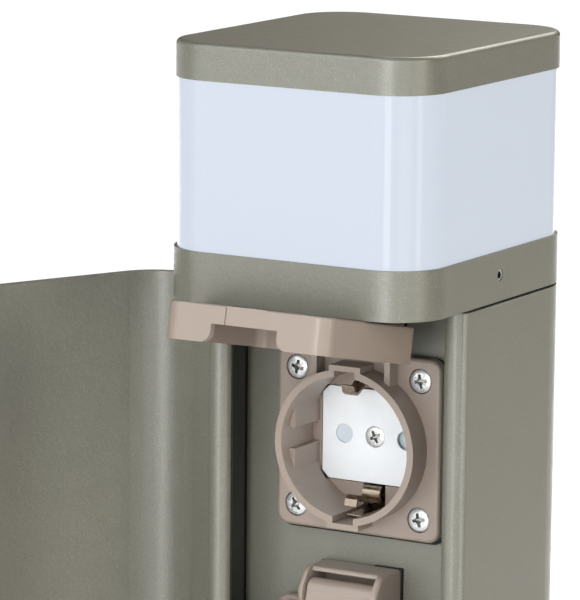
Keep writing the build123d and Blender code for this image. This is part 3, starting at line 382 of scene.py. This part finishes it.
def surround():
    """Pale studio behind the object: a ring of floor that fades in round the near floor, and a dome.

    Both are seen by the camera only, so they leave the light on the object as it is."""
    verts, faces, segs = [], [], 96
    rows = [(r, -0.0002) for r in (0.62, 1.0, 1.5, 3.0, 6.0, 12.0)]
    rows += [(13.0 * math.cos(math.radians(a)), 13.0 * math.sin(math.radians(a)) - 0.0002) for a in range(0, 88, 4)]
    for r, z in rows:
        for k in range(segs):
            t = 2.0 * math.pi * k / segs
            verts.append((r * math.cos(t), r * math.sin(t), z))
    for i in range(len(rows) - 1):
        for k in range(segs):
            n = (k + 1) % segs
            faces.append((i * segs + k, i * segs + n, (i + 1) * segs + n, (i + 1) * segs + k))
    verts.append((0.0, 0.0, 13.0))
    top = (len(rows) - 1) * segs
    for k in range(segs):
        faces.append((top + k, top + (k + 1) % segs, len(verts) - 1))
    me = bpy.data.meshes.new("surround")
    me.from_pydata(verts, [], faces)
    ob = bpy.data.objects.new("surround", me)
    bpy.context.scene.collection.objects.link(ob)
    m = bpy.data.materials.new("surround_pale")
    m.use_nodes = True
    nt = m.node_tree
    nt.nodes.clear()
    out = node(nt, "ShaderNodeOutputMaterial")
    tc = node(nt, "ShaderNodeTexCoord")
    far = node(nt, "ShaderNodeVectorMath", operation="LENGTH")
    nt.links.new(tc.outputs["Object"], far.inputs[0])
    fade = node(nt, "ShaderNodeMapRange", interpolation_type="SMOOTHSTEP")
    fade.inputs["From Min"].default_value = 0.65
    fade.inputs["From Max"].default_value = 1.7
    nt.links.new(far.outputs["Value"], fade.inputs["Value"])
    glow = node(nt, "ShaderNodeEmission")
    glow.inputs["Color"].default_value = (1.0, 1.0, 1.0, 1.0)
    glow.inputs["Strength"].default_value = 1.06
    clear = node(nt, "ShaderNodeBsdfTransparent")
    both = node(nt, "ShaderNodeMixShader")
    nt.links.new(fade.outputs["Result"], both.inputs[0])
    nt.links.new(clear.outputs[0], both.inputs[1])
    nt.links.new(glow.outputs[0], both.inputs[2])
    nt.links.new(both.outputs[0], out.inputs["Surface"])
    me.materials.append(m)
    ob.visible_diffuse = False
    ob.visible_glossy = False
    ob.visible_transmission = False
    ob.visible_shadow = False
    return ob


surround()

world = bpy.data.worlds.new("studio")
bpy.context.scene.world = world
world.use_nodes = True
bg = world.node_tree.nodes["Background"]
bg.inputs["Color"].default_value = (1.0, 1.0, 1.0, 1.0)
bg.inputs["Strength"].default_value = 0.02


def area(name, loc, target, size, size_y, power, color=(1, 1, 1), spread=180.0):
    d = bpy.data.lights.new(name, "AREA")
    d.shape = "RECTANGLE"
    d.size, d.size_y = size, size_y
    d.energy = power
    d.color = color
    d.spread = math.radians(spread)
    o = bpy.data.objects.new(name, d)
    o.visible_camera = False
    o.location = loc
    o.rotation_euler = (Vector(target) - Vector(loc)).to_track_quat("-Z", "Y").to_euler()
    bpy.context.scene.collection.objects.link(o)
    return o


TGT = (0.0, 0.0, 0.40)


def softbox(name, az, el, dist, wide, high, power, color=(1, 1, 1)):
    """az runs from the front (-Y) to the right (+X), el up from level."""
    a, e = math.radians(az), math.radians(el)
    loc = (TGT[0] + dist * math.sin(a) * math.cos(e), TGT[1] - dist * math.cos(a) * math.cos(e), TGT[2] + dist * math.sin(e))
    return area(name, loc, TGT, wide, high, power, color)


COOL = (0.975, 1.0, 1.03)
WARM = (1.0, 0.955, 0.87)
RIG = (
    ("box_front", 10.5, 8, 2.0, 0.50, 1.7, 24.0, COOL),
    ("box_front_right", 47, 8, 2.0, 0.90, 1.7, 10.5, COOL),
    ("box_left_high", -25, 42, 2.0, 1.5, 1.0, 14.0, COOL),
    ("box_side_narrow", 77.5, 8, 2.0, 0.40, 1.7, 11.5, WARM),
    ("box_side", 88, 22, 2.0, 0.6, 0.9, 3.0, WARM),
    ("box_side_back", 150, 8, 2.0, 1.2, 1.3, 2.5, WARM),
    ("box_left", -100, 8, 2.0, 1.3, 1.3, 3.0, WARM),
    ("box_back", 180, 42, 2.0, 1.5, 1.0, 30.0, WARM),
)
for row in RIG:
    softbox(*row)
area("wall_front_left", (-0.91, -1.78, 0.76), (0.0, 0.0, 0.76), 2.04, 1.45, 17.0, COOL)

# keeps the floor behind the object white; it shines straight down, away from the object
area("floor_wash", (-1.55, 3.05, 1.6), (-1.55, 3.05, 0.0), 3.6, 4.6, 130.0, (1, 1, 1), 75.0)

bpy.context.scene.view_settings.view_transform = "Standard"
bpy.context.scene.view_settings.look = "None"
bpy.context.scene.view_settings.exposure = 0.0
bpy.context.scene.view_settings.gamma = 1.0

soften(["collar"], 0.40, 3)
soften(["cap"], 0.22, 2)
soften(["foot_plate"], 0.5, 2)
soften(["upper_socket_flange", "lower_socket_flange", "upper_lid", "lower_lid"], 0.22, 2)
soften(["upper_insert", "lower_insert"], 0.12, 2)
